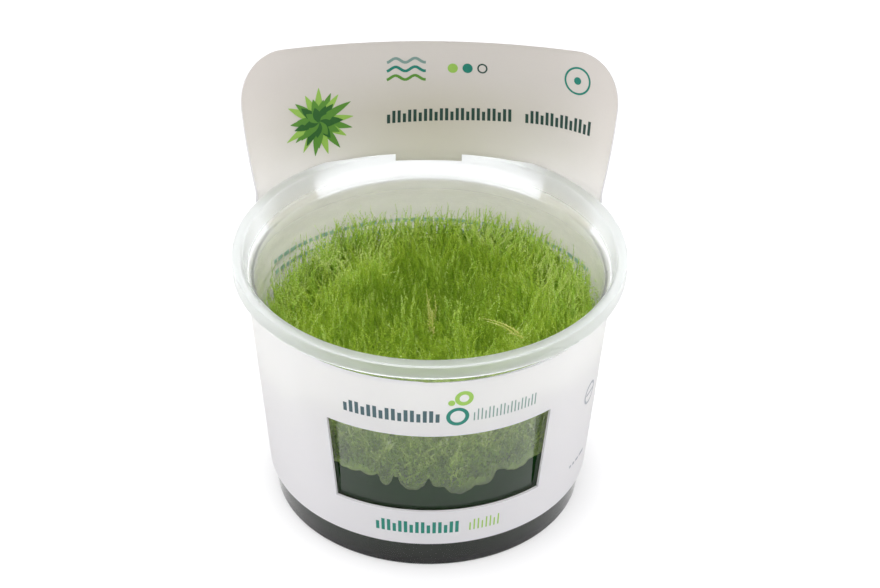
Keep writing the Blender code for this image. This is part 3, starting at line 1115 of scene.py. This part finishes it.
# the four fields of short shoots that make the canopy
shoots = {
    "names": ("mossShootsFront", "mossShootsMiddle", "mossShootsRear", "mossShootsBack"),
    "spacing": 1.15 * mm,
    "sunk": 1.2 * mm,
    "height": 8.6 * mm,
    "rearGain": 1.0 * mm,
    "swell": 3.8 * mm,          # how much longer or shorter they are from clump to clump
    "spread": 1.2 * mm,
    "shortest": 5.0 * mm,
    "leaves": 42,
    "leafLength": 0.66 * mm,
    # x and y of a patch and its reach both ways: painted shade a little behind the middle, and painted light
    # at the back left
    "paintedShadePatch": (-2 * mm, 9 * mm, 16 * mm, 12 * mm),
    "paintedLightPatch": (-17 * mm, 20 * mm, 10 * mm, 10 * mm),
    "finish": "mossFrond",
    "stops": stops((0.0, 0.42, 0.72, 1.0), (50, 82, 8), (135, 159, 38), (195, 212, 90), (238, 244, 172)),
}


def patch(x, y, where):
    middleX, middleY, reachX, reachY = where
    return np.exp(-((x - middleX) / reachX) ** 2 - ((y - middleY) / reachY) ** 2)


def paintedLightAndShade(places):
    # painted light and shade: lighter at the front and the sides, darkest a little behind the middle
    x, y = places.T
    deep = patch(x, y, shoots["paintedShadePatch"])
    backLeft = patch(x, y, shoots["paintedLightPatch"])
    sides = smoothStep(16 * mm, 33 * mm, np.hypot(x, y))
    rear = smoothStep(-14 * mm, 12 * mm, y)
    return 0.34 - 0.56 * deep + (0.18 + 0.34 * rear) * sides + 0.40 * backLeft + 0.03 * x / (30 * mm)


def buildShoots():
    c = shoots
    shuffled = np.random.default_rng(moss["seed"])
    places = scattered(c["spacing"], shuffled, canopyRadius - 0.8 * mm)
    count = len(places)
    x, y = places.T
    away = np.hypot(x, y)
    clumps = 0.45 * clumpField(places, 7.0 * mm, 1.0) + 0.30 * clumpField(places, 2.4 * mm, 3.0)
    # painted light and shade by place, with tone from clump to clump and at random from shoot to shoot
    tone = paintedLightAndShade(places) + clumps + shuffled.normal(0.0, 0.13, count)
    roots = rooted(places, c["sunk"])
    swell = c["swell"] * clumpField(places, 5.0 * mm, 5.0)
    rear = c["rearGain"] * smoothStep(-20 * mm, 20 * mm, y)
    heights = c["height"] + rear + swell + shuffled.normal(0.0, c["spread"], count)
    heights = np.clip(heights, c["shortest"], moss["tipHeight"] - roots[:, 2] - 0.1 * mm)
    swirl = np.stack([clumpField(places, 7.0 * mm, layer) for layer in (9.0, 13.0)], -1)
    lean = 0.38 * swirl + shuffled.normal(0.0, 0.13, (count, 2))
    outward = places / np.maximum(away, 1e-6)[:, None]
    lean += outward * (0.10 * smoothStep(22 * mm, 34 * mm, away))[:, None]
    cuts = np.quantile(y, (0.0, 0.26, 0.5, 0.74, 1.0))
    for name, low, high in zip(c["names"], cuts, cuts[1:]):
        here = (y >= low) & (y < high)
        growShoots(name, c, roots[here], heights[here], lean[here], tone[here], shuffled)


# longer thin shoots that stand above the rest, most of them at the back and the sides
tallShoots = {
    "spacing": 1.1 * mm,
    "fewest": 0.05,             # share of the places that have one
    "more": 0.80,               # and how much more of them at the back wall
    "sunk": 1.0 * mm,
    "heights": (8.0 * mm, 13.5 * mm),
    "leftGain": 1.8 * mm,
    "leaves": 42,
    "leafLength": 0.80 * mm,
    "opening": 0.90,
    "finish": "mossTallFrond",
    "stops": stops((0.0, 0.5, 0.85, 1.0), (96, 126, 34), (160, 192, 76), (208, 228, 132), (230, 240, 172)),
}


def buildTallShoots():
    c = tallShoots
    shuffled = np.random.default_rng(moss["seed"] + 1)
    places = scattered(c["spacing"], shuffled, canopyRadius - 0.6 * mm)
    x, y = places.T
    atBack = smoothStep(24 * mm, 33 * mm, np.hypot(x, y)) * smoothStep(-14 * mm, 8 * mm, y)
    places = places[shuffled.random(len(places)) < c["fewest"] + c["more"] * atBack]
    count = len(places)
    roots = rooted(places, c["sunk"])
    left = smoothStep(-10 * mm, -30 * mm, places[:, 0])
    heights = shuffled.uniform(*c["heights"], count) + c["leftGain"] * left
    heights = np.minimum(heights, moss["tallTip"] - roots[:, 2] - 0.1 * mm)
    lean = shuffled.normal(0.0, 0.13, (count, 2))
    tone = 0.5 + shuffled.normal(0.0, 0.18, count)
    growShoots("mossTallShoots", c, roots, heights, lean, tone, shuffled)


# a ring of pale shoots along the wall
edgeShoots = {
    "count": 1100,
    "fromWall": (0.4 * mm, 3.2 * mm),
    "sunk": 1.4 * mm,
    "heights": (4.8 * mm, 8.6 * mm),
    "lowerBehind": 0.28,
    "leaves": 34,
    "leafLength": 0.72 * mm,
    "finish": "mossEdgeFrond",
    "stops": stops((0.0, 0.5, 0.85, 1.0), (92, 124, 32), (158, 192, 72), (206, 228, 128), (228, 240, 168)),
}


def buildEdgeShoots():
    c = edgeShoots
    shuffled = np.random.default_rng(moss["seed"] + 4)
    angle = shuffled.uniform(0.0, math.tau, c["count"])
    away = canopyRadius - shuffled.uniform(*c["fromWall"], c["count"])
    places = circle(away, 0.0, angle)[:, :2]
    lowered = 1.0 - c["lowerBehind"] * smoothStep(-10 * mm, 25 * mm, places[:, 1])
    heights = shuffled.uniform(*c["heights"], c["count"]) * lowered
    lean = shuffled.normal(0.0, 0.14, (c["count"], 2))
    tone = 0.46 + 0.30 * clumpField(places, 4.0 * mm, 6.0) + shuffled.normal(0.0, 0.10, c["count"])
    growShoots("mossEdgeShoots", c, rooted(places, c["sunk"]), heights, lean, tone, shuffled)


# shoots pressed against the wall behind the window
wallShoots = {
    "count": 1500,
    "halfAngle": 50,            # degrees to each side of the window's middle
    "wallRadius": 33 * mm,      # turns angles along the wall into lengths
    "fromWall": (0.2 * mm, 1.0 * mm),
    "heights": (2.2 * mm, 4.6 * mm),
    "leaves": 16,
    "leafLength": 1.10 * mm,
    "opening": 0.6,
    "stemWidth": 0.14 * mm,
    "finish": "mossWallFrond",
    "stops": stops((0.0, 0.4, 0.72, 1.0), (74, 106, 30), (146, 178, 66), (214, 232, 122), (250, 252, 204)),
}


def buildWallShoots():
    c = wallShoots
    count = c["count"]
    shuffled = np.random.default_rng(moss["seed"] + 2)
    azimuth = np.radians(shuffled.uniform(-c["halfAngle"], c["halfAngle"], count)) + card["windowTurn"]
    angle = azimuth - 0.5 * math.pi
    low = gelTop(gelRadius, angle)
    z = low - 0.2 * mm + (moss["height"] - low) * shuffled.uniform(0.0, 1.0, count)
    roots = circle(wallInside(z) - shuffled.uniform(*c["fromWall"], count), z, angle)
    heights = shuffled.uniform(*c["heights"], count)
    outward = circle(1.0, 0.0, angle)[:, :2]
    along = outward[:, ::-1] * (-1, 1)
    lean = along * shuffled.normal(0.0, 0.32, (count, 1)) + outward * 0.15
    rise = (z - low) / (moss["height"] - low)
    onWall = np.column_stack([azimuth * c["wallRadius"], z / 2])
    # painted light: the shoots are lighter the higher they stand on the wall, with clumps and random tone
    tone = 0.08 + 0.86 * rise + 0.50 * clumpField(onWall, 2.0 * mm, 2.0) + shuffled.normal(0.0, 0.13, count)
    growShoots("mossWallShoots", c, roots, heights, lean, tone, shuffled)


# a dry stem lying on the moss, a small dry tuft, and brown spore stalks at the back; places in mm
dryShoots = {
    "stem": [
        # root, lean, length
        ((18.2, -13.2, 44.0), (-2.05, 1.43), 4.0),
        ((16.6, -12.4, 44.0), (-1.9, 1.65), 2.6),
        ((18.9, -13.9, 43.8), (-2.2, 1.2), 1.6),
    ],
    "tuft": [(0.4, 2.0), (1.1, 0.4), (-0.2, -1.2), (0.8, -2.6), (0.2, -4.0), (1.0, -5.2)],
    "tuftRoot": 37.6,
    "tuftHeights": (7.0, 8.2),
    "leaves": 30,
    "leafLength": 0.8 * mm,
    "stemWidth": 0.24 * mm,
    "finish": "mossDryFrond",
    "stops": stops((0.0, 0.5, 1.0), (178, 172, 84), (226, 214, 134), (250, 242, 196)),
}
stalks = {
    "places": [(-11.7, 29.4), (2.3, 32.6), (21.5, 26.2), (25.8, 23.3), (-19.0, 25.0)],
    "root": 38.0,
    "height": 8.1 * mm,
    "leaves": 3,
    "leafLength": 0.5 * mm,
    "opening": 0.3,
    "stemWidth": 0.13 * mm,
    "finish": "mossStalk",
    "stops": stops((0.0, 0.6, 1.0), (96, 110, 50), (112, 92, 56), (84, 62, 52)),
}


def buildStrays():
    shuffled = np.random.default_rng(moss["seed"] + 3)
    roots, lean, tall = (list(column) for column in zip(*dryShoots["stem"]))
    for x, y in dryShoots["tuft"]:
        roots.append((x, y, dryShoots["tuftRoot"]))
        lean.append(tuple(shuffled.normal(0.0, 0.12, 2)))
        tall.append(shuffled.uniform(*dryShoots["tuftHeights"]))
    growShoots("mossDryShoots", dryShoots, np.array(roots) * mm, np.array(tall) * mm, np.array(lean),
               np.full(len(roots), 0.5), shuffled)
    roots = np.array([(*place, stalks["root"]) for place in stalks["places"]]) * mm
    count = len(roots)
    lean = shuffled.normal(0.0, 0.06, (count, 2))
    heights = np.full(count, stalks["height"])
    growShoots("mossStalks", stalks, roots, heights, lean, np.full(count, 0.6), shuffled)


buildCushion()
buildShoots()
buildTallShoots()
buildEdgeShoots()
buildWallShoots()
buildStrays()


# Studio: white paper floor, soft white light, the camera of the picture
studio = {
    "skyFront": (1.20, 1.19, 1.21),
    "skyBack": (0.94, 0.94, 0.95),
    "skyMiddle": 0.88,          # share of it straight ahead and behind
    "skySides": 0.42,           # what it gains at the two sides
    "skyTop": 1.9,              # how much brighter the sky is overhead
    "topFrom": (0.66, 0.94),    # and from what rise it is
    "floorGlow": 0.40,          # a lit white table, as under small goods
    "floorReach": 3.0,
    "floorHeight": -0.02 * mm,
    "lampPlace": (-0.12, 0.15, 0.70),
    "lampAim": (0.0, 0.0, 0.03),
    "lampSize": 0.50,
    "lampWatts": 1.5,
    # black cards on the table, seen by glossy surfaces alone: they darken the window's ends.
    # Their edges, as degrees from the front at the strip's top and bottom, where the wall mirrors them
    "blackCards": {
        "leftCard": [(-31.35, -32.75), (-36.9, -34.7)],
        "rightCard": [(37.3, 39.15), (44.95, 43.45)],
    },
    "strip": (38.4 * mm, 14.0 * mm),
    "cardHeight": 0.1 * mm,
    "cameraPlace": (-0.0050, -0.41197, 0.32981),
    "cameraDown": 34.628,
    "cameraTurn": -1.0,
    "cameraRoll": 0.79,
    "lens": 100.0,
}


def floorFinish():
    finish = Finish("paperFloor")
    cloudy = finish.speckle(14.0, 2.0)
    color = finish.blend(cloudy, (0.48, 0.48, 0.48), (0.50, 0.50, 0.50))
    return finish.done({"Base Color": color, "Roughness": 0.8, "Specular IOR Level": 0.1,
                        "Emission Color": (1.0, 1.0, 1.0, 1.0), "Emission Strength": studio["floorGlow"]})


def blackFinish():
    finish = Finish("blackCard")
    grain = finish.speckle(200.0, 2.0)
    return finish.done({"Base Color": finish.blend(grain, (0.004, 0.004, 0.004), (0.010, 0.010, 0.010)),
                        "Roughness": 0.9, "Specular IOR Level": 0.0})


def mirroredOnTable(degrees, z):
    # where the camera's line of sight lands after the cup's wall has mirrored it
    angle = math.radians(degrees - 90.0)
    outward = Vector((math.cos(angle), math.sin(angle), -cup["slope"])).normalized()
    spot = Vector((wallOutside(z) * math.cos(angle), wallOutside(z) * math.sin(angle), z))
    sight = (spot - Vector(studio["cameraPlace"])).reflect(outward)
    return spot + sight * ((studio["cardHeight"] - z) / sight.z)


def blackCard(edges):
    top, bottom = studio["strip"]
    near, far = ([mirroredOnTable(first + (last - first) * share, top + (bottom - top) * share)
                  for share in np.linspace(0.0, 1.0, 4)] for first, last in edges)
    return near + far[::-1]


def buildStudio():
    world = bpy.data.worlds.new("studioSky")
    sky = Finish("studioSky", world)
    across, along, up = sky.split(sky.add("ShaderNodeTexCoord", {}, {}, 0))
    shade = sky.blend((0.5 + 0.6 * along).held(), studio["skyFront"], studio["skyBack"])
    overhead = between(up, studio["topFrom"])
    strength = studio["skyMiddle"] + studio["skySides"] * (across * across) + studio["skyTop"] * overhead
    glow = sky.add("ShaderNodeBackground", {}, {"Color": shade, "Strength": strength})
    sky.add("ShaderNodeOutputWorld", {}, {"Surface": glow})
    bpy.context.scene.world = world
    bpy.context.scene.view_settings.view_transform = "Standard"

    mesh = bpy.data.meshes.new("paperFloor")
    far, low = studio["floorReach"], studio["floorHeight"]
    corners = [(-far, -far, low), (far, -far, low), (far, far, low), (-far, far, low)]
    mesh.from_pydata(corners, [], [(0, 1, 2, 3)])
    mesh.materials.append(floorFinish())
    floor = bpy.data.objects.new("paperFloor", mesh)
    bpy.context.scene.collection.objects.link(floor)

    for name, edges in studio["blackCards"].items():
        corners = blackCard(edges)
        mesh = bpy.data.meshes.new(name)
        mesh.from_pydata(corners, [], [tuple(range(len(corners)))])
        mesh.materials.append(blackFinish())
        black = bpy.data.objects.new(name, mesh)
        black.visible_camera = False
        black.visible_diffuse = False
        black.visible_transmission = False
        black.visible_shadow = False
        bpy.context.scene.collection.objects.link(black)

    light = bpy.data.lights.new("topLight", "AREA")
    light.shape = "SQUARE"
    light.size = studio["lampSize"]
    light.energy = studio["lampWatts"]
    lamp = bpy.data.objects.new("topLight", light)
    lamp.location = studio["lampPlace"]
    aim = Vector(studio["lampAim"]) - Vector(studio["lampPlace"])
    lamp.rotation_euler = aim.to_track_quat("-Z", "Y").to_euler()
    bpy.context.scene.collection.objects.link(lamp)

    camera = bpy.data.cameras.new("camera")
    camera.lens = studio["lens"]
    camera.sensor_width = 36.0
    camera.clip_start = 0.01
    viewer = bpy.data.objects.new("camera", camera)
    turn = Matrix.Rotation(math.radians(studio["cameraTurn"]), 4, "Z")
    down = Matrix.Rotation(math.radians(90.0 - studio["cameraDown"]), 4, "X")
    roll = Matrix.Rotation(math.radians(studio["cameraRoll"]), 4, "Z")
    viewer.matrix_world = Matrix.Translation(studio["cameraPlace"]) @ turn @ down @ roll
    bpy.context.scene.collection.objects.link(viewer)
    bpy.context.scene.camera = viewer


buildStudio()
